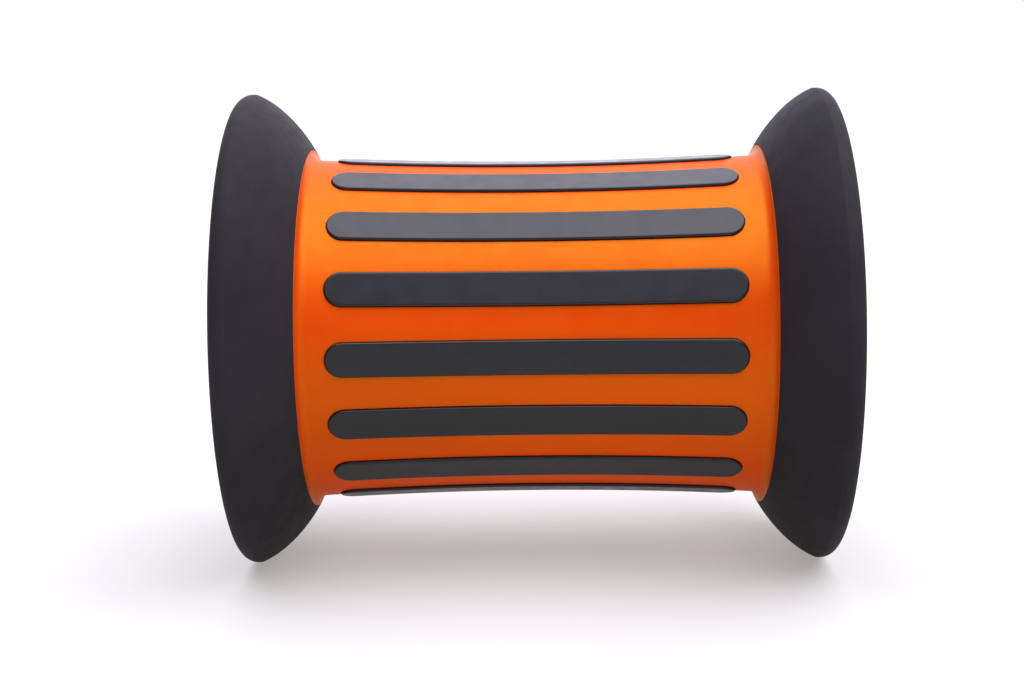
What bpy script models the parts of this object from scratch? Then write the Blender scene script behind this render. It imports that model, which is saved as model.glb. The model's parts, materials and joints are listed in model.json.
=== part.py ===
"""Balance roller: a waisted plastic drum with rubber grip strips and a flared, rubber-covered bell at each end.

World frame: X along the roller's axle, +Z up, origin on the floor under the middle. Every piece is drawn in
the axle's own frame, in which Z runs along the axle (world +X) and "out" is a distance from the axle.
"""

import math

import bmesh
import bpy
from mathutils import Matrix, Vector

# Driving dimensions, in metres
RIM_RADIUS = 0.205
HALF_LENGTH = 0.2538
WAIST_RADIUS = 0.142
DRUM_END_RADIUS = 0.1473
SEAM_OUT = 0.1562
SEAM_ALONG = 0.1925
GAP = 0.0003
SIDES = 40
JOIN_WITHIN = 0.00001

# Drum
DRUM_WALL = 0.0045
DRUM_FILLET = 0.0085
FLANGE_THICKNESS = 0.0050
FLANGE_EDGE = 0.0035
FLANGE_BORE = 0.1260
WAIST_STEPS = 6
FILLET_STEPS = 3
INNER_WALL_STEPS = 4

# Grip strips
STRIP_COUNT = 16
STRIP_WIDTH = 0.0285
STRIP_LENGTH = 0.340
STRIP_HEIGHT = 0.0026
STRIP_CHAMFER = 0.0010
SEAT_DEPTH = 0.0010
SEAT_CLEARANCE = 0.0004
STRIP_CUTS = 5
STRIP_END_STEPS = 6
FIRST_STRIP_ANGLE = math.radians(64.7)

# Flared end: the skin's outer line is a Bezier curve from the seam to the rim, then a round rim
FLARE_START_SLOPE = math.radians(62.1)
FLARE_END_SLOPE = math.radians(25.6)
FLARE_START_PULL = 0.0205
FLARE_END_PULL = 0.0211
FLARE_STEPS = 4
RIM_ROUND = 0.0109
RIM_STEPS = 3
REST_RING_WIDTH = 0.0081
BEAD_ROUND = 0.0030
BEAD_TAPER = 0.0033
BEAD_STEPS = 2
COVER_THICKNESS = 0.0045
COVER_FOOT = 0.05
HOOK_THICKNESS = 0.0035

# Bell
BELL_THICKNESS = 0.0050
WEB_THICKNESS = 0.0050
WEB_FACE_OUT = 0.1490
COLLAR_THICKNESS = 0.0050
COLLAR_DEPTH = 0.0260
SHOULDER_THICKNESS = 0.0030
SHOULDER_STEP = 0.0037

# Core tube
TUBE_WALL = 0.0040

# Screws
SCREW_COUNT = 8
SCREW_CIRCLE = 0.1345
SCREW_SIDES = 8
SHANK_RADIUS = 0.0020
SHANK_LENGTH = 0.0145
TIP_LENGTH = 0.0020
HEAD_RADIUS = 0.0045
HEAD_HEIGHT = 0.0028
HEAD_CROWN = 0.0009
DRIVE_RADIUS = 0.0018
DRIVE_DEPTH = 0.0016
HOLE_RADIUS = 0.0024
HOLE_REACH = 0.0100

# Places that follow
AXLE_HEIGHT = RIM_RADIUS * math.cos(math.pi / SIDES)
WAIST_HALF = SEAM_ALONG - DRUM_FILLET
WAIST_RISE = DRUM_END_RADIUS - WAIST_RADIUS
WAIST_ARC = (WAIST_HALF**2 + WAIST_RISE**2) / (2 * WAIST_RISE)
DRUM_END = SEAM_ALONG + FLANGE_EDGE
RIM_CENTRE = Vector((RIM_RADIUS - RIM_ROUND, HALF_LENGTH - RIM_ROUND))
WEB_INNER = DRUM_END + GAP
WEB_OUTER = WEB_INNER + WEB_THICKNESS
COLLAR_OUT = FLANGE_BORE - GAP
COLLAR_IN = COLLAR_OUT - COLLAR_THICKNESS
SHOULDER_ALONG = WEB_OUTER - SHOULDER_THICKNESS
BELL_OFFSET = COVER_THICKNESS + GAP
GROOVE_OFFSET = BELL_OFFSET + BELL_THICKNESS + GAP
STRIP_PITCH = 2 * math.pi / STRIP_COUNT

RUBBER = ((0.045, 0.042, 0.050, 1.0), 0.62, 0.0)
MATERIALS = {
    "orange_plastic": ((0.80, 0.16, 0.012, 1.0), 0.34, 0.0),
    "strip_rubber": RUBBER,
    "cover_rubber": RUBBER,
    "bell_plastic": ((0.030, 0.030, 0.033, 1.0), 0.50, 0.0),
    "tube_plastic": ((0.72, 0.15, 0.015, 1.0), 0.42, 0.0),
    "screw_steel": ((0.58, 0.58, 0.60, 1.0), 0.32, 1.0),
}


def clear_scene():
    for obj in list(bpy.data.objects):
        bpy.data.objects.remove(obj, do_unlink=True)


def new_collection(name, helper=False):
    collection = bpy.data.collections.new(name)
    collection.hide_render = helper
    bpy.context.scene.collection.children.link(collection)
    return collection


def new_material(name):
    colour, roughness, metallic = MATERIALS[name]
    material = bpy.data.materials.get(name) or bpy.data.materials.new(name)
    material.use_nodes = True
    shader = material.node_tree.nodes["Principled BSDF"]
    shader.inputs["Base Color"].default_value = colour
    shader.inputs["Roughness"].default_value = roughness
    shader.inputs["Metallic"].default_value = metallic
    material.diffuse_color = colour
    return material


def new_axle():
    """The empty that every piece hangs on: its Z runs along the axle, and its X points to the floor."""
    axle = bpy.data.objects.new("axle", None)
    bpy.context.scene.collection.objects.link(axle)
    axle.location = (0.0, 0.0, AXLE_HEIGHT)
    axle.rotation_euler = (0.0, math.pi / 2, 0.0)
    return axle


def place(name, mesh, collection, axle, matrix=None):
    obj = bpy.data.objects.new(name, mesh)
    collection.objects.link(obj)
    obj.parent = axle
    obj.matrix_local = matrix or Matrix.Identity(4)
    return obj


def clockwise(outline):
    """The (out, along) loop turned so that it runs down its outer side, as a turned solid needs."""
    ends = zip(outline, outline[1:] + outline[:1])
    doubled_area = sum(a[0] * b[1] - b[0] * a[1] for a, b in ends)
    return outline if doubled_area < 0 else outline[::-1]


def turned(name, outline, collection, axle, matrix, sides=SIDES, closed=True):
    """A solid of revolution about the axle from (out, along) points, with a flat side towards the floor."""
    mesh = bpy.data.meshes.new(name)
    shape = bmesh.new()
    turn = Matrix.Rotation(math.pi / sides, 3, "Z")
    loop = clockwise(outline) if closed else outline
    corners = [shape.verts.new(turn @ Vector((out, 0.0, along))) for out, along in loop]
    for a, b in zip(corners, corners[1:]):
        shape.edges.new((a, b))
    if closed:
        shape.edges.new((corners[-1], corners[0]))
    shape.to_mesh(mesh)
    shape.free()
    obj = place(name, mesh, collection, axle, matrix)
    screw = obj.modifiers.new("turn", "SCREW")
    screw.axis = "Z"
    screw.steps = sides
    screw.render_steps = sides
    screw.use_merge_vertices = True
    screw.merge_threshold = JOIN_WITHIN
    screw.use_smooth_shade = True
    return obj


def cut(obj, cutters):
    boolean = obj.modifiers.new("cut", "BOOLEAN")
    boolean.operation = "DIFFERENCE"
    boolean.operand_type = "COLLECTION"
    boolean.collection = cutters
    boolean.solver = "EXACT"


def arc(centre, radius, start, end, steps):
    """(out, along) points on an arc. Angle 0 points out from the axle, and a quarter turn points along it."""
    turns = (start + (end - start) * step / steps for step in range(steps + 1))
    return [(centre[0] + radius * math.cos(turn), centre[1] + radius * math.sin(turn)) for turn in turns]


def waist(along):
    """The drum's outer radius between its end fillets."""
    return WAIST_RADIUS + WAIST_ARC - math.sqrt(WAIST_ARC**2 - along**2)


def mirrored(points):
    return [(out, -along) for out, along in reversed(points)]


def steps_between(start, end, steps):
    return [start + (end - start) * step / steps for step in range(steps + 1)]


# Drum and strips


def drum_outline():
    fillet_centre = (DRUM_END_RADIUS + DRUM_FILLET, WAIST_HALF)
    outer_end = [(SEAM_OUT, DRUM_END), (SEAM_OUT, SEAM_ALONG + GAP)]
    outer_end += arc(fillet_centre, DRUM_FILLET, math.pi / 2, math.pi, FILLET_STEPS)
    waist_places = steps_between(WAIST_HALF, -WAIST_HALF, WAIST_STEPS)[1:-1]
    outer = outer_end + [(waist(along), along) for along in waist_places] + mirrored(outer_end)
    flange_back = DRUM_END - FLANGE_THICKNESS
    inner_places = steps_between(-flange_back, flange_back, INNER_WALL_STEPS)
    inner = [(waist(along) - DRUM_WALL, along) for along in inner_places]
    flange = [(FLANGE_BORE, flange_back), (FLANGE_BORE, DRUM_END)]
    return outer + mirrored(flange) + inner + flange


def strip_prism(length, width, low, high, chamfer=0.0):
    """A flat slab with round ends, in (along, across, height), cut across so that it can follow the waist."""
    shape = bmesh.new()
    radius = width / 2
    reach = length / 2 - radius
    right = steps_between(-math.pi / 2, math.pi / 2, STRIP_END_STEPS)
    outline = [(reach + radius * math.cos(turn), radius * math.sin(turn)) for turn in right]
    outline += [(-along, -across) for along, across in outline]
    floor = shape.faces.new([shape.verts.new((along, across, low)) for along, across in outline])
    lifted = bmesh.ops.extrude_face_region(shape, geom=[floor])["geom"]
    top = [item for item in lifted if isinstance(item, bmesh.types.BMVert)]
    bmesh.ops.translate(shape, vec=(0.0, 0.0, high - low), verts=top)
    bmesh.ops.recalc_face_normals(shape, faces=shape.faces)
    if chamfer:
        rim = [edge for edge in shape.edges if all(vert in top for vert in edge.verts)]
        bmesh.ops.bevel(shape, geom=rim, offset=chamfer, segments=1, affect="EDGES", clamp_overlap=True)
    cross_cuts = [Vector((place, 0.0, 0.0)) for place in steps_between(-reach, reach, STRIP_CUTS)]
    for where, normal in [(cross, (1, 0, 0)) for cross in cross_cuts] + [(Vector(), (0, 1, 0))]:
        everything = shape.verts[:] + shape.edges[:] + shape.faces[:]
        bmesh.ops.bisect_plane(shape, geom=everything, dist=JOIN_WITHIN, plane_co=where, plane_no=normal)
    return shape


def wrapped(shape, name):
    """The slab laid on the drum: its length along the axle, its width round the waist, its height outwards."""
    for vert in shape.verts:
        along, across, height = vert.co
        out = waist(along) + height
        angle = across / waist(along)
        vert.co = (out * math.cos(angle), out * math.sin(angle), along)
    shape.normal_update()
    bmesh.ops.recalc_face_normals(shape, faces=shape.faces)
    bmesh.ops.triangulate(shape, faces=shape.faces)
    mesh = bpy.data.meshes.new(name)
    shape.to_mesh(mesh)
    shape.free()
    return mesh


def strip_turn(number):
    """Where strip `number` sits: its angle above the horizontal on the -Y side, as a turn about the axle."""
    above_horizontal = FIRST_STRIP_ANGLE - number * STRIP_PITCH
    return Matrix.Rotation(-math.pi / 2 - above_horizontal, 4, "Z")


def make_seats(cutters, axle):
    width = STRIP_WIDTH + 2 * SEAT_CLEARANCE
    length = STRIP_LENGTH + 2 * SEAT_CLEARANCE
    mesh = wrapped(strip_prism(length, width, -SEAT_DEPTH, STRIP_HEIGHT), "strip_seat")
    for number in range(STRIP_COUNT):
        place(f"seat_{number + 1:02d}", mesh, cutters, axle, strip_turn(number))


def make_drum(parts, axle, seats, holes):
    drum = turned("drum_shell", drum_outline(), parts, axle, None)
    cut(drum, seats)
    cut(drum, holes)
    drum.data.materials.append(new_material("orange_plastic"))


def make_strips(parts, axle):
    slab = strip_prism(STRIP_LENGTH, STRIP_WIDTH, GAP - SEAT_DEPTH, STRIP_HEIGHT, STRIP_CHAMFER)
    mesh = wrapped(slab, "grip_strip")
    mesh.materials.append(new_material("strip_rubber"))
    for number in range(STRIP_COUNT):
        place(f"grip_strip_{number + 1:02d}", mesh, parts, axle, strip_turn(number))


# Flared ends


def flare(share, inset=0.0, beyond=0.0):
    """A point of the skin's flared line: share 0 is the seam and 1 the rim, and inset goes into the wall."""
    seam = Vector((SEAM_OUT, SEAM_ALONG))
    rim = RIM_CENTRE + RIM_ROUND * Vector((math.cos(FLARE_END_SLOPE), -math.sin(FLARE_END_SLOPE)))
    start_way = Vector((math.sin(FLARE_START_SLOPE), math.cos(FLARE_START_SLOPE)))
    end_way = Vector((math.sin(FLARE_END_SLOPE), math.cos(FLARE_END_SLOPE)))
    pulls = [seam, seam + FLARE_START_PULL * start_way, rim - FLARE_END_PULL * end_way, rim]
    rest = 1.0 - share
    weights = [rest**3, 3 * rest**2 * share, 3 * rest * share**2, share**3]
    point = sum((weight * pull for weight, pull in zip(weights, pulls)), Vector((0.0, 0.0)))
    slopes = [rest**2, 2 * rest * share, share**2]
    spans = [after - before for before, after in zip(pulls, pulls[1:])]
    way = sum((slope * span for slope, span in zip(slopes, spans)), Vector((0.0, 0.0))).normalized()
    inwards = Vector((-way[1], way[0]))
    return tuple(point + beyond * way + inset * inwards)


def rim_cover_outline():
    """The skin from its seam over the rim, hooked round the bell's edge, with a flat ring to stand on."""
    shares = steps_between(0.0, 1.0, FLARE_STEPS)
    hook_start = shares[-2]
    hook_offset = GROOVE_OFFSET + HOOK_THICKNESS
    bead_centre = (RIM_CENTRE[0] - REST_RING_WIDTH, HALF_LENGTH - BEAD_ROUND)
    points = arc(RIM_CENTRE, RIM_ROUND, math.pi / 2, 0.0, RIM_STEPS)
    points += [flare(share) for share in reversed(shares[1:])]
    points += [(SEAM_OUT + GAP, SEAM_ALONG + GAP), flare(COVER_FOOT, COVER_THICKNESS)]
    points += [flare(share, COVER_THICKNESS) for share in shares[1:-1]]
    points += [flare(1.0, COVER_THICKNESS, GAP), flare(1.0, GROOVE_OFFSET, GAP)]
    points += [flare(hook_start, GROOVE_OFFSET), flare(hook_start, hook_offset), flare(1.0, hook_offset)]
    points += [(bead_centre[0] - BEAD_ROUND, bead_centre[1] - BEAD_TAPER)]
    return points + arc(bead_centre, BEAD_ROUND, math.pi, math.pi / 2, BEAD_STEPS)


def end_bell_outline():
    """The stiff bell: collar into the drum's bore, web against its flange, and the flare under the skin."""
    shares = steps_between(0.0, 1.0, FLARE_STEPS)
    shoulder = COLLAR_IN - SHOULDER_STEP
    points = [flare(share, BELL_OFFSET) for share in reversed(shares)]
    points += [(points[-1][0], WEB_INNER), (COLLAR_OUT, WEB_INNER)]
    points += [(COLLAR_OUT, WEB_OUTER - COLLAR_DEPTH), (COLLAR_IN, WEB_OUTER - COLLAR_DEPTH)]
    points += [(COLLAR_IN, SHOULDER_ALONG), (shoulder, SHOULDER_ALONG), (shoulder, WEB_OUTER)]
    points += [(WEB_FACE_OUT, WEB_OUTER)]
    return points + [flare(share, BELL_OFFSET + BELL_THICKNESS) for share in shares[1:]]


def make_rim_cover(name, parts, axle, end):
    cover = turned(name, rim_cover_outline(), parts, axle, end)
    cover.data.materials.append(new_material("cover_rubber"))


def make_end_bell(name, parts, axle, end, holes):
    bell = turned(name, end_bell_outline(), parts, axle, end)
    cut(bell, holes)
    bell.data.materials.append(new_material("bell_plastic"))


def make_core_tube(parts, axle):
    half = SHOULDER_ALONG - GAP
    outer = COLLAR_IN - GAP
    inner = outer - TUBE_WALL
    outline = [(outer, half), (outer, -half), (inner, -half), (inner, half)]
    tube = turned("core_tube", outline, parts, axle, None)
    tube.data.materials.append(new_material("tube_plastic"))


# Screws


def screw_places(end):
    """The seats of the eight screws of one end, each with its Z pointing out of the roller."""
    for number in range(SCREW_COUNT):
        turn = Matrix.Rotation((number + 0.5) * 2 * math.pi / SCREW_COUNT, 4, "Z")
        yield end @ turn @ Matrix.Translation((SCREW_CIRCLE, 0.0, WEB_OUTER + GAP))


def make_holes(cutters, axle, ends):
    mesh = bpy.data.meshes.new("screw_hole")
    shape = bmesh.new()
    middle = Matrix.Translation((0.0, 0.0, -WEB_THICKNESS))
    bmesh.ops.create_cone(
        shape,
        cap_ends=True,
        segments=SCREW_SIDES,
        radius1=HOLE_RADIUS,
        radius2=HOLE_RADIUS,
        depth=2 * HOLE_REACH,
        matrix=middle,
    )
    shape.to_mesh(mesh)
    shape.free()
    for side, end in ends.items():
        for number, seat in enumerate(screw_places(end), start=1):
            place(f"hole_{side}_{number:02d}", mesh, cutters, axle, seat)


def screw_outline():
    drive_floor = HEAD_HEIGHT - DRIVE_DEPTH
    head = [(0.0, drive_floor), (DRIVE_RADIUS, HEAD_HEIGHT), (HEAD_RADIUS - HEAD_CROWN, HEAD_HEIGHT)]
    head += [(HEAD_RADIUS, HEAD_HEIGHT - HEAD_CROWN), (HEAD_RADIUS, 0.0)]
    shank_end = -SHANK_LENGTH + TIP_LENGTH
    return head + [(SHANK_RADIUS, 0.0), (SHANK_RADIUS, shank_end), (0.0, -SHANK_LENGTH)]


def make_screws(side, parts, axle, end):
    for number, seat in enumerate(screw_places(end), start=1):
        name = f"web_screw_{side}_{number:02d}"
        screw = turned(name, screw_outline(), parts, axle, seat, SCREW_SIDES, closed=False)
        screw.data.materials.append(new_material("screw_steel"))


def main():
    clear_scene()
    parts = new_collection("balance_roller")
    seats = new_collection("seat_cutters", helper=True)
    holes = new_collection("hole_cutters", helper=True)
    axle = new_axle()
    ends = {"right": Matrix.Identity(4), "left": Matrix.Rotation(math.pi, 4, "X")}
    make_seats(seats, axle)
    make_holes(holes, axle, ends)
    for cutter in list(seats.objects) + list(holes.objects):
        cutter.hide_render = True
        cutter.display_type = "WIRE"
    make_drum(parts, axle, seats, holes)
    make_strips(parts, axle)
    make_core_tube(parts, axle)
    for side, end in ends.items():
        make_end_bell(f"end_bell_{side}", parts, axle, end, holes)
        make_rim_cover(f"rim_cover_{side}", parts, axle, end)
        make_screws(side, parts, axle, end)


main()
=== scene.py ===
"""Looks of the balance roller: fine turned shells, rubber strips and skins, and soft studio light.

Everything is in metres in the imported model's frame: X along the roller's axle, +Z up, the floor at z = 0.
A turned shape's outline is a list of (out, along) points: the distance from the axle, and the place along it.
"""

import json
import math

import bmesh
import bpy
import numpy as np
from mathutils import Matrix, Vector

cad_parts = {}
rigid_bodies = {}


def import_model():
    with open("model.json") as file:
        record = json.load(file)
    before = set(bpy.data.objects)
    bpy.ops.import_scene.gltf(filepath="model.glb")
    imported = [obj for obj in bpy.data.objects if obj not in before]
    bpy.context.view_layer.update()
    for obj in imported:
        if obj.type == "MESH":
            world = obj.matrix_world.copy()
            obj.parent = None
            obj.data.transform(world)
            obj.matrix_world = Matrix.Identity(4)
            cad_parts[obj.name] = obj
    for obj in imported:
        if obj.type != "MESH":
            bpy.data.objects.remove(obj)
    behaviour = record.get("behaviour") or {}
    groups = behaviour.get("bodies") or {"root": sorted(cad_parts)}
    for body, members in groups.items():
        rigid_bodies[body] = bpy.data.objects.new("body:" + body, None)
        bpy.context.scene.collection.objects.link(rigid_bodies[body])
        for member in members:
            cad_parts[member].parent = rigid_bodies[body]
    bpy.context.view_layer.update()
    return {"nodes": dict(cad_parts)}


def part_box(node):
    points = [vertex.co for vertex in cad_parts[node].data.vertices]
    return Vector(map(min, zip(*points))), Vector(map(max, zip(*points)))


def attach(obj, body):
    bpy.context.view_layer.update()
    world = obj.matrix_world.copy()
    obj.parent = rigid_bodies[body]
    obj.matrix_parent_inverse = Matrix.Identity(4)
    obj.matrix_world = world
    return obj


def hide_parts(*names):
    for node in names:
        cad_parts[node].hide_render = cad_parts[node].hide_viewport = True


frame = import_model()

# Sizes read from the frame


def half_height(node):
    low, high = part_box(node)
    return (high.z - low.z) / 2


def far_end(node):
    return max(abs(corner.x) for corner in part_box(node))


RIM_RADIUS = half_height("rim_cover_right")
HALF_LENGTH = far_end("rim_cover_right")
AXLE = sum(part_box("rim_cover_right"), Vector()).z / 2
SEAM_OUT = half_height("drum_shell")
DRUM_END = far_end("drum_shell")
TUBE_OUT = half_height("core_tube")
TUBE_END = far_end("core_tube")
BELL_FOOT = min(abs(corner.x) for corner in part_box("end_bell_right"))
STRIP_LENGTH = 2 * far_end("grip_strip_01")

# Sizes that the frame's boxes don't show
GAP = 0.0003
FINE = 0.0006
DRUM_WALL = 0.0045
DRUM_FILLET = 0.0085
FLANGE_EDGE = 0.0035
FLANGE_THICKNESS = 0.0050
FLANGE_WIDTH = 0.0298
LIP_ROUND = 0.0009
WAIST_DROP = 0.0142
END_DROP = 0.0089
STRIP_COUNT = 16
STRIP_WIDTH = 0.0285
STRIP_HEIGHT = 0.0021
STRIP_ROUND = 0.0018
SEAT_DEPTH = 0.0010
SEAT_CLEARANCE = 0.0004
FLARE_START_SLOPE = math.radians(62.1)
FLARE_END_SLOPE = math.radians(25.6)
FLARE_START_PULL = 0.0205
FLARE_END_PULL = 0.0211
RIM_ROUND = 0.0109
CREST_ROUND = 0.0015
REST_RING_WIDTH = 0.0081
BEAD_ROUND = 0.0030
BEAD_TAPER = 0.0033
COVER_THICKNESS = 0.0045
HOOK_THICKNESS = 0.0035
BELL_THICKNESS = 0.0050
WEB_THICKNESS = 0.0050
WEB_FACE_OUT = 0.1485
WEB_FILLET = 0.0060
SHOULDER_STEP = 0.0037
SHOULDER_THICKNESS = 0.0030
COLLAR_THICKNESS = 0.0050
TUBE_WALL = 0.0040
SCREW_COUNT = 8
HOLE_RADIUS = 0.0024
HOLE_REACH = 0.0120
HEAD_RADIUS = 0.0045
HEAD_HEIGHT = 0.0028
HEAD_CROWN = 0.0009
HEAD_EDGE = 0.0002
CROWN_START = math.radians(10)
CROWN_END = math.radians(86)
SHANK_RADIUS = 0.0016
SHANK_LENGTH = 0.0145
TIP_LENGTH = 0.0020
TIP_SHARE = 0.25
THREAD_PITCH = 0.0012
THREAD_DEPTH = 0.0004
RECESS_REACH = 0.0021
RECESS_WIDTH = 0.0010
RECESS_DEPTH = 0.0017
RECESS_MOUTH = 1.15
RECESS_FLOOR = 0.45
SCREW_TURN = math.radians(37)

# Shares of the flare, from 0 at the seam to 1 at the rim, where the hidden lines start and stop
SKIN_START = 0.02
SKIN_FOOT = 0.05
SKIN_BACK_START = 0.10
BELL_FACE_START = 0.16
HOOK_START = 0.75
BACK_STOP = 0.95
GROOVE_STOP = 0.97

# How finely shapes are drawn
TURN_SIDES = 288
WAIST_STEPS = 48
INNER_WALL_STEPS = 16
FILLET_STEPS = 14
SKIN_STEPS = 36
SKIN_BACK_STEPS = 12
BELL_STEPS = 14
RIM_STEPS = 16
BEAD_STEPS = 8
GROOVE_STEPS = 4
HOOK_STEPS = 5
CORNER_STEPS = 5
STRIP_STEPS = 40
STRIP_END_STEPS = 18
STRIP_EDGE_STEPS = 9
UNDERSIDE_STEPS = 6
SEAT_STEPS = 4
SCREW_SIDES = 28
THREAD_STEPS = 60
TIP_STEPS = 6
CROWN_STEPS = 8
HOLE_SIDES = 32

# A corner is left as it is where its sides are shorter than this, or its angle is flatter than this
SHORTEST_SIDE = 1e-9
NEARLY_STRAIGHT = math.radians(172)
# The most of a side that a rounded corner takes up
CORNER_SHARE = 0.45

# Between these lies nearly all of a noise texture's value
NOISE_LOW = 0.3
NOISE_HIGH = 0.7

# Places that follow
SEAM_ALONG = DRUM_END - FLANGE_EDGE
WAIST_RADIUS = SEAM_OUT - WAIST_DROP
DRUM_END_RADIUS = SEAM_OUT - END_DROP
WAIST_HALF = SEAM_ALONG - DRUM_FILLET
WAIST_RISE = DRUM_END_RADIUS - WAIST_RADIUS
WAIST_ARC = (WAIST_HALF**2 + WAIST_RISE**2) / (2 * WAIST_RISE)
FLANGE_BORE = SEAM_OUT - FLANGE_WIDTH
RIM_CENTRE = Vector((RIM_RADIUS - RIM_ROUND, HALF_LENGTH - RIM_ROUND))
WEB_INNER = DRUM_END + GAP
WEB_OUTER = WEB_INNER + WEB_THICKNESS
COLLAR_IN = TUBE_OUT + GAP
COLLAR_OUT = COLLAR_IN + COLLAR_THICKNESS
BELL_OFFSET = COVER_THICKNESS + GAP
GROOVE_OFFSET = BELL_OFFSET + BELL_THICKNESS + GAP
SIDES = {"right": 1, "left": -1}

# Colours: a pair is the darker and the paler tone of one material
DRUM_ORANGE = ((0.640, 0.0300, 0.0007), (0.710, 0.0365, 0.0009))
# Painted shade: the darker, browner tone of the end fillets by the seams, where the flanges shade them
DRUM_LIP_SHADE = (0.570, 0.0520, 0.0024)
DRUM_DUST = (0.80, 0.24, 0.06)
DRUM_GLOSS_TINT = (17.0, 26.0, 1.9, 1.0)
TUBE_ORANGE = ((0.560, 0.062, 0.004), (0.660, 0.082, 0.006))
GRIP_BLACK = ((0.0026, 0.0024, 0.0028), (0.0038, 0.0035, 0.0041))
SKIN_BLACK = ((0.0184, 0.0168, 0.0187), (0.0240, 0.0222, 0.0244))
RUBBER_DUST_LIFT = 2.2
RUBBER_POLISH_SWING = 0.05
BELL_BLACK = ((0.018, 0.018, 0.020), (0.028, 0.028, 0.031))
ZINC = ((0.56, 0.56, 0.58), (0.64, 0.62, 0.56))

# Camera
CAMERA_DISTANCE = 1.5375
CAMERA_RAISED = math.radians(7.5)
CAMERA_YAW = math.radians(-0.80)
CAMERA_PITCH = math.radians(-0.51)
CAMERA_ROLL = math.radians(-0.62)
CAMERA_LENS = 61.4
CAMERA_SENSOR = 36.0
CAMERA_REACH = 200.0

# Floor and light
FLOOR_RADIUS = 60.0
FLOOR_SIDES = 96
FLOOR_COLOUR = (0.352, 0.360, 0.329, 1.0)
FLOOR_GLOW_COLOUR = (1.0, 0.965, 0.940, 1.0)
FLOOR_GLOW = 0.345
LIGHT_COLOUR = (0.97, 0.945, 1.11, 1.0)
BACKDROP_COLOUR = (1.0, 1.0, 1.0, 1.0)
SOFT_BOX_TOWARDS = (0.20, -0.10, 1.0)
SOFT_BOX_STRENGTH = 4.1
GLOW_BEHIND_STRENGTH = 2.3
FILL_STRENGTH = 0.175
# How far a direction agrees with a lamp's where its soft edge starts, and where it is fully bright
SOFT_BOX_EDGE = (0.56, 0.88)
GLOW_BEHIND_EDGE = (0.40, 0.95)


# Materials


class Nodes:
    """A short way to write nodes and the links between them."""

    def __init__(self, tree):
        self.tree = tree

    def add(self, kind, **settings):
        node = self.tree.nodes.new(kind)
        for name, value in settings.items():
            setattr(node, name, value)
        return node

    def link(self, source, target):
        self.tree.links.new(source, target)

    def maths(self, operation, *values):
        node = self.add("ShaderNodeMath", operation=operation)
        for socket, value in zip(node.inputs, values):
            if isinstance(value, float):
                socket.default_value = value
            else:
                self.link(value, socket)
        return node.outputs["Value"]

    def component(self, vector, axis):
        axes = self.add("ShaderNodeSeparateXYZ")
        self.link(vector, axes.inputs["Vector"])
        return axes.outputs[axis]

    def spread(self, value, low, high, from_low=NOISE_LOW, from_high=NOISE_HIGH):
        """value, which lies mostly between from_low and from_high, spread from low to high."""
        reach = self.add("ShaderNodeMapRange", interpolation_type="SMOOTHSTEP")
        ends = {"From Min": from_low, "From Max": from_high, "To Min": low, "To Max": high}
        for name, number in ends.items():
            reach.inputs[name].default_value = number
        self.link(value, reach.inputs["Value"])
        return reach.outputs["Result"]


class MaterialNodes(Nodes):
    """The nodes of one material, laid out by the piece's own coordinates, in metres."""

    def __init__(self, material):
        super().__init__(material.node_tree)
        self.shader = self.tree.nodes["Principled BSDF"]
        self.place = self.add("ShaderNodeTexCoord").outputs["Object"]
        self.relief = None

    def noise(self, scale, detail, roughness, stretch=(1.0, 1.0, 1.0), distortion=0.0):
        mapping = self.add("ShaderNodeMapping")
        mapping.inputs["Scale"].default_value = stretch
        self.link(self.place, mapping.inputs["Vector"])
        noise = self.add("ShaderNodeTexNoise")
        noise.inputs["Scale"].default_value = scale
        noise.inputs["Detail"].default_value = detail
        noise.inputs["Roughness"].default_value = roughness
        noise.inputs["Distortion"].default_value = distortion
        self.link(mapping.outputs["Vector"], noise.inputs["Vector"])
        return noise.outputs["Fac"]

    def cells(self, scale):
        voronoi = self.add("ShaderNodeTexVoronoi")
        voronoi.inputs["Scale"].default_value = scale
        self.link(self.place, voronoi.inputs["Vector"])
        return voronoi.outputs["Distance"]

    def mix(self, amount, first, second):
        blend = self.add("ShaderNodeMix", data_type="RGBA")
        self.link(amount, blend.inputs["Factor"])
        colour_inputs = [socket for socket in blend.inputs if socket.type == "RGBA"]
        for socket, colour in zip(colour_inputs, (first, second)):
            if isinstance(colour, tuple):
                socket.default_value = (*colour, 1.0)
            else:
                self.link(colour, socket)
        return next(socket for socket in blend.outputs if socket.type == "RGBA")

    def clouded(self, value, tones):
        """A colour that wanders between two tones as value does."""
        return self.mix(self.spread(value, low=0.0, high=1.0), *tones)

    def finish(self, colour, roughness):
        self.link(colour, self.shader.inputs["Base Color"])
        self.link(roughness, self.shader.inputs["Roughness"])

    def bump(self, height, depth, strength):
        """Relief of that depth in metres, on top of any relief already there."""
        bump = self.add("ShaderNodeBump")
        bump.inputs["Strength"].default_value = strength
        bump.inputs["Distance"].default_value = depth
        self.link(height, bump.inputs["Height"])
        if self.relief:
            self.link(self.relief, bump.inputs["Normal"])
        self.relief = bump.outputs["Normal"]
        self.link(self.relief, self.shader.inputs["Normal"])


def new_material(name, **fixed):
    material = bpy.data.materials.new(name)
    material.use_nodes = True
    nodes = MaterialNodes(material)
    for socket, value in fixed.items():
        nodes.shader.inputs[socket.replace("_", " ")].default_value = value
    return material, nodes


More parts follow.
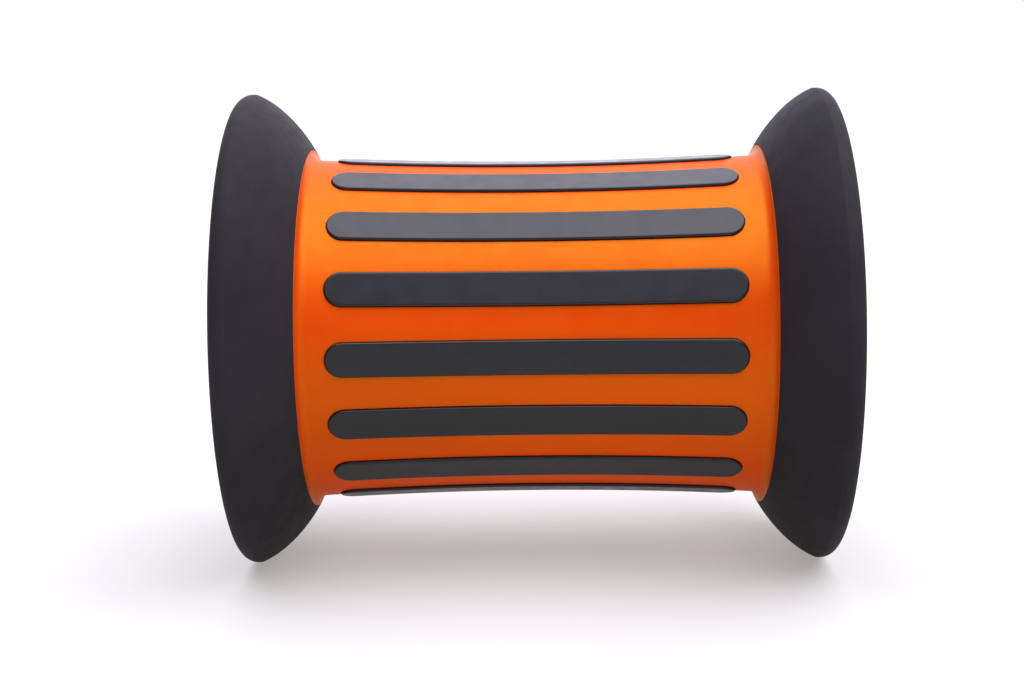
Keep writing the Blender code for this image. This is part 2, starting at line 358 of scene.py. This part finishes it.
def drum_plastic():
    """Bright satin moulding: flow marks, dusty scuffs, painted shade that darkens and browns the end fillets
    towards the seams, and a faint orange peel.
    """
    material, nodes = new_material(
        "drum_plastic", Metallic=0.0, IOR=1.50, Specular_IOR_Level=0.03, Specular_Tint=DRUM_GLOSS_TINT
    )
    flow = nodes.noise(scale=7.0, detail=3.0, roughness=0.55, stretch=(0.35, 1.0, 1.0), distortion=0.4)
    mottle = nodes.noise(scale=60.0, detail=5.0, roughness=0.6)
    scuffs = nodes.noise(scale=180.0, detail=2.0, roughness=0.7, stretch=(1.0, 7.0, 7.0))
    peel = nodes.noise(scale=420.0, detail=2.0, roughness=0.4)
    dust = nodes.spread(scuffs, low=0.0, high=0.06, from_low=0.62, from_high=0.80)
    colour = nodes.mix(dust, nodes.clouded(flow, DRUM_ORANGE), DRUM_DUST)
    # Painted shade: from the waist's end out to each seam, the orange turns to the darker, browner fillet
    # tone
    from_middle = nodes.maths("ABSOLUTE", nodes.component(nodes.place, "X"))
    lip_shade = nodes.spread(from_middle, low=0.0, high=1.0, from_low=WAIST_HALF, from_high=SEAM_ALONG)
    polish = nodes.spread(mottle, low=0.38, high=0.48)
    worn = nodes.spread(scuffs, low=0.0, high=0.10, from_low=0.55, from_high=0.80)
    nodes.finish(nodes.mix(lip_shade, colour, DRUM_LIP_SHADE), nodes.maths("ADD", polish, worn))
    nodes.bump(flow, depth=0.0016, strength=0.06)
    nodes.bump(peel, depth=0.00012, strength=0.22)
    return material


def tube_plastic():
    """Extruded liner: the drum's orange, duller, with fine die lines along it."""
    material, nodes = new_material("tube_plastic", Metallic=0.0, IOR=1.46)
    lines = nodes.noise(scale=260.0, detail=3.0, roughness=0.6, stretch=(0.02, 1.0, 1.0))
    cloud = nodes.noise(scale=14.0, detail=3.0, roughness=0.5)
    nodes.finish(nodes.clouded(cloud, TUBE_ORANGE), nodes.spread(lines, low=0.38, high=0.55))
    nodes.bump(lines, depth=0.00018, strength=0.35)
    return material


def rubber(name, tones, gloss, roughness, grain_scale):
    """Charcoal rubber: fine skin grain, a bloom that pales it in patches, and a little dust."""
    material, nodes = new_material(name, Metallic=0.0, IOR=1.50, Specular_IOR_Level=gloss)
    bloom = nodes.noise(scale=9.0, detail=4.0, roughness=0.6)
    fleck = nodes.noise(scale=320.0, detail=3.0, roughness=0.65)
    patches = nodes.noise(scale=70.0, detail=4.0, roughness=0.55)
    pores = nodes.cells(grain_scale)
    dust = nodes.spread(fleck, low=0.0, high=0.22, from_low=0.60, from_high=0.78)
    dusty = tuple(RUBBER_DUST_LIFT * part for part in tones[1])
    colour = nodes.mix(dust, nodes.clouded(bloom, tones), dusty)
    matt = nodes.spread(patches, low=roughness - RUBBER_POLISH_SWING, high=roughness + RUBBER_POLISH_SWING)
    nodes.finish(colour, matt)
    nodes.bump(bloom, depth=0.0010, strength=0.05)
    nodes.bump(pores, depth=0.00010, strength=0.30)
    return material


def bell_plastic():
    """Black structural moulding with a spark-eroded texture and slightly polished high spots."""
    material, nodes = new_material("bell_plastic", Metallic=0.0, IOR=1.49)
    grain = nodes.noise(scale=900.0, detail=3.0, roughness=0.6)
    cloud = nodes.noise(scale=18.0, detail=3.0, roughness=0.5)
    nodes.finish(nodes.clouded(cloud, BELL_BLACK), nodes.spread(grain, low=0.58, high=0.44))
    nodes.bump(grain, depth=0.00016, strength=0.45)
    return material


def screw_steel():
    """Bright zinc plate with faint turning marks and a trace of yellow passivation."""
    material, nodes = new_material("screw_steel", Metallic=1.0)
    cloud = nodes.noise(scale=240.0, detail=3.0, roughness=0.6)
    marks = nodes.noise(scale=2600.0, detail=2.0, roughness=0.5)
    nodes.finish(nodes.clouded(cloud, ZINC), nodes.spread(marks, low=0.24, high=0.40))
    nodes.bump(marks, depth=0.00003, strength=0.30)
    return material


# Outlines


def steps_between(start, end, steps):
    return [start + (end - start) * step / steps for step in range(steps + 1)]


def arc(centre, radius, start, end, steps):
    """Points on an arc. Angle 0 points out from the axle, and a quarter turn points along it."""
    turns = steps_between(start, end, steps)
    return [(centre[0] + radius * math.cos(turn), centre[1] + radius * math.sin(turn)) for turn in turns]


def rounded(corners):
    """The closed outline with each (out, along, radius) corner rounded."""
    points = []
    for number, (out, along, radius) in enumerate(corners):
        here = Vector((out, along))
        before = Vector(corners[number - 1][:2]) - here
        after = Vector(corners[(number + 1) % len(corners)][:2]) - here
        square = radius <= 0.0 or min(before.length, after.length) < SHORTEST_SIDE
        if square or before.angle(after) > NEARLY_STRAIGHT:
            points.append((out, along))
            continue
        full_reach = radius / math.tan(before.angle(after) / 2)
        reach = min(full_reach, CORNER_SHARE * before.length, CORNER_SHARE * after.length)
        start = here + reach * before.normalized()
        end = here + reach * after.normalized()
        for share in steps_between(0.0, 1.0, CORNER_STEPS):
            rest = 1.0 - share
            points.append(tuple(rest**2 * start + 2 * rest * share * here + share**2 * end))
    return points


def plain(points):
    """Points of a curved stretch, with no corner to round."""
    return [(out, along, 0.0) for out, along in points]


def mirrored(corners):
    return [(out, -along, radius) for out, along, radius in reversed(corners)]


def waist(along):
    """The drum's outer radius between its end fillets."""
    return WAIST_RADIUS + WAIST_ARC - math.sqrt(WAIST_ARC**2 - along**2)


def flare(share, inset=0.0, beyond=0.0):
    """A point of the skin's flared line: share 0 is the seam and 1 the rim, and inset goes into the wall."""
    seam = Vector((SEAM_OUT, SEAM_ALONG))
    rim = RIM_CENTRE + RIM_ROUND * Vector((math.cos(FLARE_END_SLOPE), -math.sin(FLARE_END_SLOPE)))
    start_way = Vector((math.sin(FLARE_START_SLOPE), math.cos(FLARE_START_SLOPE)))
    end_way = Vector((math.sin(FLARE_END_SLOPE), math.cos(FLARE_END_SLOPE)))
    pulls = [seam, seam + FLARE_START_PULL * start_way, rim - FLARE_END_PULL * end_way, rim]
    rest = 1.0 - share
    weights = [rest**3, 3 * rest**2 * share, 3 * rest * share**2, share**3]
    point = sum((weight * pull for weight, pull in zip(weights, pulls)), Vector((0.0, 0.0)))
    slopes = [rest**2, 2 * rest * share, share**2]
    spans = [after - before for before, after in zip(pulls, pulls[1:])]
    way = sum((slope * span for slope, span in zip(slopes, spans)), Vector((0.0, 0.0))).normalized()
    inwards = Vector((-way[1], way[0]))
    return tuple(point + beyond * way + inset * inwards)


def flare_line(start, end, steps, inset=0.0):
    """Curved corners along the flared line, or a line inside the wall, from one share to another."""
    return plain(flare(share, inset) for share in steps_between(start, end, steps))


def drum_outline():
    fillet_centre = (DRUM_END_RADIUS + DRUM_FILLET, WAIST_HALF)
    end = [(SEAM_OUT, DRUM_END, FINE), (SEAM_OUT, SEAM_ALONG, LIP_ROUND)]
    end += plain(arc(fillet_centre, DRUM_FILLET, math.pi / 2, math.pi, FILLET_STEPS))
    waist_places = steps_between(WAIST_HALF, -WAIST_HALF, WAIST_STEPS)[1:-1]
    outer = end + plain((waist(along), along) for along in waist_places) + mirrored(end)
    flange_back = DRUM_END - FLANGE_THICKNESS
    inner_places = steps_between(-flange_back, flange_back, INNER_WALL_STEPS)
    inner = plain((waist(along) - DRUM_WALL, along) for along in inner_places)
    flange = [(FLANGE_BORE, flange_back, FINE), (FLANGE_BORE, DRUM_END, FINE)]
    return rounded(outer + mirrored(flange) + inner + flange)


def rim_cover_outline():
    """The skin from its seam over the rim, hooked round the bell's edge, with a flat ring to stand on."""
    hook_offset = GROOVE_OFFSET + HOOK_THICKNESS
    bead_centre = (RIM_CENTRE[0] - REST_RING_WIDTH, HALF_LENGTH - BEAD_ROUND)
    crest = RIM_ROUND * (1.0 - math.cos(FLARE_END_SLOPE)) / math.sin(FLARE_END_SLOPE)
    corners = plain(arc(RIM_CENTRE, RIM_ROUND, math.pi / 2, 0.0, RIM_STEPS))
    corners += [(*flare(1.0, 0.0, crest), CREST_ROUND)]
    corners += flare_line(1.0, SKIN_START, SKIN_STEPS)
    corners += [(SEAM_OUT + GAP, SEAM_ALONG + GAP, 0.0), (*flare(SKIN_FOOT, COVER_THICKNESS), FINE)]
    corners += flare_line(SKIN_BACK_START, BACK_STOP, SKIN_BACK_STEPS, COVER_THICKNESS)
    corners += [(*flare(1.0, COVER_THICKNESS, GAP), FINE), (*flare(1.0, GROOVE_OFFSET, GAP), FINE)]
    corners += flare_line(GROOVE_STOP, HOOK_START, GROOVE_STEPS, GROOVE_OFFSET)[:-1]
    corners += [(*flare(HOOK_START, GROOVE_OFFSET), FINE), (*flare(HOOK_START, hook_offset), 2 * FINE)]
    corners += flare_line(HOOK_START, 1.0, HOOK_STEPS, hook_offset)[1:-1]
    corners += [(*flare(1.0, hook_offset), 4 * FINE)]
    corners += [(bead_centre[0] - BEAD_ROUND, bead_centre[1] - BEAD_TAPER, 4 * FINE)]
    corners += plain(arc(bead_centre, BEAD_ROUND, math.pi, math.pi / 2, BEAD_STEPS))
    return rounded(corners)


def end_bell_outline():
    """The stiff bell: collar into the drum's bore, web against its flange, and the flare under the skin."""
    shoulder = COLLAR_IN - SHOULDER_STEP
    shoulder_along = WEB_OUTER - SHOULDER_THICKNESS
    face_offset = BELL_OFFSET + BELL_THICKNESS
    corners = [(*flare(1.0, BELL_OFFSET), FINE)]
    corners += flare_line(BACK_STOP, 0.0, BELL_STEPS, BELL_OFFSET)
    corners += [(flare(0.0, BELL_OFFSET)[0], WEB_INNER, 0.0), (COLLAR_OUT, WEB_INNER, FINE)]
    corners += [(COLLAR_OUT, BELL_FOOT, 2 * FINE), (COLLAR_IN, BELL_FOOT, FINE)]
    corners += [(COLLAR_IN, shoulder_along, 0.0), (shoulder, shoulder_along, FINE)]
    corners += [(shoulder, WEB_OUTER, 2 * FINE), (WEB_FACE_OUT, WEB_OUTER, WEB_FILLET)]
    corners += flare_line(BELL_FACE_START, BACK_STOP, BELL_STEPS, face_offset)
    return rounded(corners + [(*flare(1.0, face_offset), FINE)])


def core_tube_outline():
    inner = TUBE_OUT - TUBE_WALL
    ends = [(TUBE_OUT, TUBE_END), (TUBE_OUT, -TUBE_END), (inner, -TUBE_END), (inner, TUBE_END)]
    return rounded([(out, along, FINE) for out, along in ends])


# Meshes


def finished(name, mesh, material, replaced, sharp=40.0):
    """A piece of the roller: its mesh, its finish, and the CAD node that it stands for."""
    mesh.shade_smooth()
    mesh.set_sharp_from_angle(angle=math.radians(sharp))
    mesh.materials.append(material)
    piece = bpy.data.objects.new(name, mesh)
    bpy.context.scene.collection.objects.link(piece)
    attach(piece, "root")
    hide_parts(replaced)


def mesh_from(name, shape):
    """The bmesh as a mesh; the bmesh is freed."""
    mesh = bpy.data.meshes.new(name)
    shape.to_mesh(mesh)
    shape.free()
    return mesh


def face_out(mesh):
    shape = bmesh.new()
    shape.from_mesh(mesh)
    bmesh.ops.recalc_face_normals(shape, faces=shape.faces)
    shape.to_mesh(mesh)
    shape.free()
    mesh.update()


def turned_mesh(name, outline, side=1):
    """A closed solid of revolution about the axle. side is -1 for the left end."""
    turns = np.linspace(0.0, 2 * math.pi, TURN_SIDES, endpoint=False)
    rings = len(outline)
    out = np.array([point[0] for point in outline])
    along = side * np.array([point[1] for point in outline])
    across = np.outer(np.sin(turns), out)
    up = AXLE - np.outer(np.cos(turns), out)
    places = np.stack([np.broadcast_to(along, across.shape), across, up], axis=2)
    step = np.arange(TURN_SIDES)[:, None] * rings
    after_step = (np.arange(1, TURN_SIDES + 1) % TURN_SIDES)[:, None] * rings
    here = np.arange(rings)[None, :]
    after = (np.arange(1, rings + 1) % rings)[None, :]
    quads = np.stack([step + here, after_step + here, after_step + after, step + after], axis=2)
    mesh = bpy.data.meshes.new(name)
    mesh.from_pydata(places.reshape(-1, 3).tolist(), [], quads.reshape(-1, 4).tolist())
    face_out(mesh)
    return mesh


def join_rings(shape, rings):
    """Faces between each closed ring of vertices and the next."""
    count = len(rings[0])
    for lower, upper in zip(rings, rings[1:]):
        for number in range(count):
            after = (number + 1) % count
            shape.faces.new((lower[number], lower[after], upper[after], upper[number]))


def strip_ring(inset, height, flat=False):
    """One closed loop of a strip's surface, as (along, across, height, flat) points."""
    radius = STRIP_WIDTH / 2 - inset
    reach = STRIP_LENGTH / 2 - STRIP_WIDTH / 2
    turns = steps_between(-math.pi / 2, math.pi / 2, STRIP_END_STEPS)
    half = [(reach + radius * math.cos(turn), radius * math.sin(turn)) for turn in turns]
    half += [(along, radius) for along in steps_between(reach, -reach, STRIP_STEPS)[1:-1]]
    loop = half + [(-along, -across) for along, across in half]
    return [(along, across, height, flat) for along, across in loop]


def laid(points, turn):
    """Points of a strip laid at that angle about the axle: flat ones level, and others round the waist."""
    places = []
    for along, across, height, flat in points:
        out = waist(along) + height
        if flat:
            out, angle = math.hypot(out, across), turn + math.atan2(across, out)
        else:
            angle = turn + across / waist(along)
        places.append((along, out * math.sin(angle), AXLE - out * math.cos(angle)))
    return places


def strip_mesh(name, turn, rings):
    """A strip skinned over its loops from underside to top, with rows of faces across both end loops."""
    shape = bmesh.new()
    loops = [[shape.verts.new(place) for place in laid(ring, turn)] for ring in rings]
    join_rings(shape, loops)
    count = len(loops[0])
    for loop in (loops[0], loops[-1]):
        for number in range(STRIP_END_STEPS // 2, STRIP_END_STEPS // 2 + count // 2):
            opposite = (STRIP_END_STEPS - number) % count
            corners = [loop[number], loop[number + 1], loop[opposite - 1], loop[opposite]]
            shape.faces.new(list(dict.fromkeys(corners)))
    bmesh.ops.recalc_face_normals(shape, faces=shape.faces)
    return mesh_from(name, shape)


def grip_rings():
    """A grip strip, level across its top, with a soft rounded edge."""
    half = STRIP_WIDTH / 2
    floor = GAP - SEAT_DEPTH
    shoulder = STRIP_HEIGHT - STRIP_ROUND
    rings = [strip_ring(inset, floor) for inset in steps_between(half - FINE, 0.0, UNDERSIDE_STEPS)]
    rings.append(strip_ring(0.0, shoulder - FINE, True))
    for turn in steps_between(0.0, math.pi / 2, STRIP_EDGE_STEPS):
        inset = STRIP_ROUND * (1.0 - math.cos(turn))
        rings.append(strip_ring(inset, shoulder + STRIP_ROUND * math.sin(turn), True))
    return rings + [strip_ring(STRIP_ROUND + FINE / 2, STRIP_HEIGHT, True)]


def seat_rings():
    """The space that a strip's shallow seat takes from the drum."""
    inner = STRIP_WIDTH / 2 - FINE
    rings = [strip_ring(inset, -SEAT_DEPTH) for inset in steps_between(inner, FINE, SEAT_STEPS)]
    rings += [strip_ring(-SEAT_CLEARANCE, height) for height in (-SEAT_DEPTH, STRIP_HEIGHT)]
    return rings + [strip_ring(inset, STRIP_HEIGHT) for inset in steps_between(FINE, inner, SEAT_STEPS)]


def strip_node(number):
    return f"grip_strip_{number:02d}"


def strip_turn(number):
    """The strip's angle about the axle, from straight down, read from where its CAD solid lies."""
    places = np.array([vertex.co for vertex in frame["nodes"][strip_node(number)].data.vertices])
    across, up = places[:, 1].mean(), places[:, 2].mean() - AXLE
    return math.atan2(across, -up)


def cut(mesh, cutters):
    """The mesh with the cutters' meshes taken away."""
    body = bpy.data.objects.new("body", mesh)
    bpy.context.scene.collection.objects.link(body)
    tools = bpy.data.collections.new("tools")
    bpy.context.scene.collection.children.link(tools)
    for cutter in cutters:
        tools.objects.link(bpy.data.objects.new("tool", cutter))
    boolean = body.modifiers.new("cut", "BOOLEAN")
    boolean.operation = "DIFFERENCE"
    boolean.operand_type = "COLLECTION"
    boolean.collection = tools
    boolean.solver = "EXACT"
    graph = bpy.context.evaluated_depsgraph_get()
    result = bpy.data.meshes.new_from_object(body.evaluated_get(graph))
    for obj in [body, *tools.objects]:
        bpy.data.objects.remove(obj, do_unlink=True)
    bpy.data.collections.remove(tools)
    return result


# Screws


def screw_node(side, number):
    return f"web_screw_{side}_{number:02d}"


def screw_seat(side, number):
    """Where the screw's head sits on the web."""
    node = screw_node(side, number)
    low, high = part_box(node)
    middle = (low + high) / 2
    return Vector((SIDES[side] * (WEB_OUTER + GAP), middle.y, middle.z))


def hole_cutters(sides):
    """A cylinder along the axle at each screw."""
    cutters = []
    for side in sides:
        for number in range(1, SCREW_COUNT + 1):
            along_axle = Matrix.Rotation(math.pi / 2, 4, "Y")
            shape = bmesh.new()
            bmesh.ops.create_cone(
                shape,
                cap_ends=True,
                segments=HOLE_SIDES,
                radius1=HOLE_RADIUS,
                radius2=HOLE_RADIUS,
                depth=2 * HOLE_REACH,
                matrix=Matrix.Translation(screw_seat(side, number)) @ along_axle,
            )
            cutters.append(mesh_from("hole", shape))
    return cutters


def screw_outline():
    """(out, along, share of thread) points from the tip to the crown, with the head's seat at along 0."""
    tip = []
    for share in steps_between(0.0, 1.0, TIP_STEPS):
        out = SHANK_RADIUS * (TIP_SHARE + (1.0 - TIP_SHARE) * share)
        tip.append((out, -SHANK_LENGTH + TIP_LENGTH * share, share))
    thread_places = steps_between(TIP_LENGTH - SHANK_LENGTH, -2 * THREAD_PITCH, THREAD_STEPS)[1:]
    shank = [(SHANK_RADIUS, along, 1.0) for along in thread_places]
    neck = [(SHANK_RADIUS, -THREAD_PITCH, 0.0), (SHANK_RADIUS, 0.0, 0.0)]
    rim = HEAD_HEIGHT - HEAD_CROWN
    head = [(HEAD_RADIUS - HEAD_EDGE, 0.0, 0.0), (HEAD_RADIUS, HEAD_EDGE, 0.0)]
    head += [(HEAD_RADIUS, rim - FINE, 0.0)]
    turns = steps_between(CROWN_START, CROWN_END, CROWN_STEPS)
    crown = [(HEAD_RADIUS * math.cos(turn), rim + HEAD_CROWN * math.sin(turn), 0.0) for turn in turns]
    return tip + shank + neck + head + crown


def thread_height(along, number):
    """The helical ridge's height on side `number` of the shank, from 0 to 1."""
    phase = (along / THREAD_PITCH - number / SCREW_SIDES) % 1.0
    return 1.0 - abs(2.0 * phase - 1.0)


def screw_mesh():
    """A pan-head screw along +X, with a helical ridge on its shank and a cross recess in its head."""
    shape = bmesh.new()
    rings = []
    for out, along, share in screw_outline():
        ring = []
        for number in range(SCREW_SIDES):
            turn = 2 * math.pi * number / SCREW_SIDES
            radius = out + share * THREAD_DEPTH * thread_height(along, number)
            ring.append(shape.verts.new((along, radius * math.cos(turn), radius * math.sin(turn))))
        rings.append(ring)
    join_rings(shape, rings)
    shape.faces.new(rings[0])
    shape.faces.new(rings[-1])
    mesh = mesh_from("screw", shape)
    face_out(mesh)
    return cut(mesh, [recess_arm(turn) for turn in (0.0, math.pi / 2)])


def recess_arm(turn):
    """One arm of the cross recess: a slot that narrows as it goes in."""
    shape = bmesh.new()
    bmesh.ops.create_cube(shape, size=1.0)
    for vertex in shape.verts:
        outside = vertex.co.x > 0
        width = RECESS_MOUTH if outside else RECESS_FLOOR
        vertex.co.y *= 2 * RECESS_REACH * width
        vertex.co.z *= RECESS_WIDTH * width
        vertex.co.x = HEAD_HEIGHT + (HEAD_CROWN if outside else -RECESS_DEPTH)
    shape.transform(Matrix.Rotation(turn, 4, "X"))
    return mesh_from("recess", shape)


def make_screws(material):
    """Copies of one screw, each driven home at its own angle."""
    model = screw_mesh()
    for name, side in SIDES.items():
        facing = Matrix.Rotation(0.0 if side > 0 else math.pi, 4, "Z")
        for number in range(1, SCREW_COUNT + 1):
            turn = Matrix.Rotation((number - 1) * SCREW_TURN, 4, "X")
            mesh = model.copy()
            mesh.transform(Matrix.Translation(screw_seat(name, number)) @ facing @ turn)
            finished(f"screw_{name}_{number:02d}", mesh, material, screw_node(name, number))
    bpy.data.meshes.remove(model)


# The other pieces


def make_drum(material):
    seats = [strip_mesh("seat", strip_turn(number), seat_rings()) for number in range(1, STRIP_COUNT + 1)]
    mesh = cut(turned_mesh("drum_skin", drum_outline()), seats + hole_cutters(SIDES))
    finished("drum_skin", mesh, material, "drum_shell", sharp=28.0)


def make_strips(material):
    for number in range(1, STRIP_COUNT + 1):
        name = f"strip_{number:02d}"
        mesh = strip_mesh(name, strip_turn(number), grip_rings())
        finished(name, mesh, material, strip_node(number), sharp=50.0)


def make_ends(skin, structure):
    for name, side in SIDES.items():
        cover = turned_mesh(f"skin_{name}", rim_cover_outline(), side)
        finished(f"skin_{name}", cover, skin, f"rim_cover_{name}")
        bell = cut(turned_mesh(f"bell_{name}", end_bell_outline(), side), hole_cutters([name]))
        finished(f"bell_{name}", bell, structure, f"end_bell_{name}", sharp=30.0)


def make_tube(material):
    mesh = turned_mesh("liner", core_tube_outline())
    finished("liner", mesh, material, "core_tube")


# Camera, floor and light


def make_camera():
    """The view from the front, a little above the axle, with the camera's small tilts."""
    level = math.cos(CAMERA_PITCH)
    forward = Vector((math.sin(CAMERA_YAW) * level, math.cos(CAMERA_YAW) * level, math.sin(CAMERA_PITCH)))
    right = Vector((math.cos(CAMERA_YAW), -math.sin(CAMERA_YAW), 0.0))
    up = right.cross(forward)
    tilted_right = right * math.cos(CAMERA_ROLL) + up * math.sin(CAMERA_ROLL)
    tilted_up = up * math.cos(CAMERA_ROLL) - right * math.sin(CAMERA_ROLL)
    turn = Matrix((tilted_right, tilted_up, -forward)).transposed().to_4x4()
    rig = Matrix.Translation((0.0, 0.0, AXLE)) @ Matrix.Rotation(-CAMERA_RAISED, 4, "X")
    data = bpy.data.cameras.new("camera")
    data.sensor_width = CAMERA_SENSOR
    data.lens = CAMERA_LENS
    data.clip_end = CAMERA_REACH
    camera = bpy.data.objects.new("camera", data)
    bpy.context.scene.collection.objects.link(camera)
    camera.matrix_world = rig @ Matrix.Translation((0.0, -CAMERA_DISTANCE, 0.0)) @ turn
    bpy.context.scene.camera = camera


def make_floor():
    """A wide pale floor that glows a little, as a lit studio sweep does."""
    bpy.ops.mesh.primitive_circle_add(vertices=FLOOR_SIDES, radius=FLOOR_RADIUS, fill_type="NGON")
    floor = bpy.context.object
    floor.name = "floor"
    material, _ = new_material(
        "floor",
        Roughness=0.9,
        Specular_IOR_Level=0.1,
        Base_Color=FLOOR_COLOUR,
        Emission_Color=FLOOR_GLOW_COLOUR,
        Emission_Strength=FLOOR_GLOW,
    )
    floor.data.materials.append(material)


def make_light():
    """A large soft box overhead, leaning to the right, a glow behind, a little fill, and a white backdrop."""
    world = bpy.data.worlds.new("studio")
    bpy.context.scene.world = world
    world.use_nodes = True
    nodes = Nodes(world.node_tree)
    nodes.tree.nodes.clear()
    direction = nodes.add("ShaderNodeTexCoord").outputs["Generated"]
    towards_box = nodes.add("ShaderNodeVectorMath", operation="DOT_PRODUCT")
    nodes.link(direction, towards_box.inputs[0])
    towards_box.inputs[1].default_value = Vector(SOFT_BOX_TOWARDS).normalized()
    soft_box = nodes.spread(towards_box.outputs["Value"], 0.0, SOFT_BOX_STRENGTH, *SOFT_BOX_EDGE)
    glow_behind = nodes.spread(nodes.component(direction, "Y"), 0.0, GLOW_BEHIND_STRENGTH, *GLOW_BEHIND_EDGE)
    strength = nodes.maths("ADD", nodes.maths("ADD", soft_box, glow_behind), FILL_STRENGTH)
    lighting = nodes.add("ShaderNodeBackground")
    lighting.inputs["Color"].default_value = LIGHT_COLOUR
    nodes.link(strength, lighting.inputs["Strength"])
    backdrop = nodes.add("ShaderNodeBackground")
    backdrop.inputs["Color"].default_value = BACKDROP_COLOUR
    seen = nodes.add("ShaderNodeMixShader")
    nodes.link(nodes.add("ShaderNodeLightPath").outputs["Is Camera Ray"], seen.inputs["Fac"])
    nodes.link(lighting.outputs["Background"], seen.inputs[1])
    nodes.link(backdrop.outputs["Background"], seen.inputs[2])
    nodes.link(seen.outputs["Shader"], nodes.add("ShaderNodeOutputWorld").inputs["Surface"])


def main():
    make_camera()
    make_floor()
    make_light()
    bpy.context.scene.view_settings.view_transform = "Standard"
    make_drum(drum_plastic())
    make_strips(rubber("grip_rubber", GRIP_BLACK, gloss=0.42, roughness=0.37, grain_scale=1500.0))
    skin = rubber("skin_rubber", SKIN_BLACK, gloss=0.085, roughness=0.72, grain_scale=1300.0)
    make_ends(skin, bell_plastic())
    make_tube(tube_plastic())
    make_screws(screw_steel())


main()
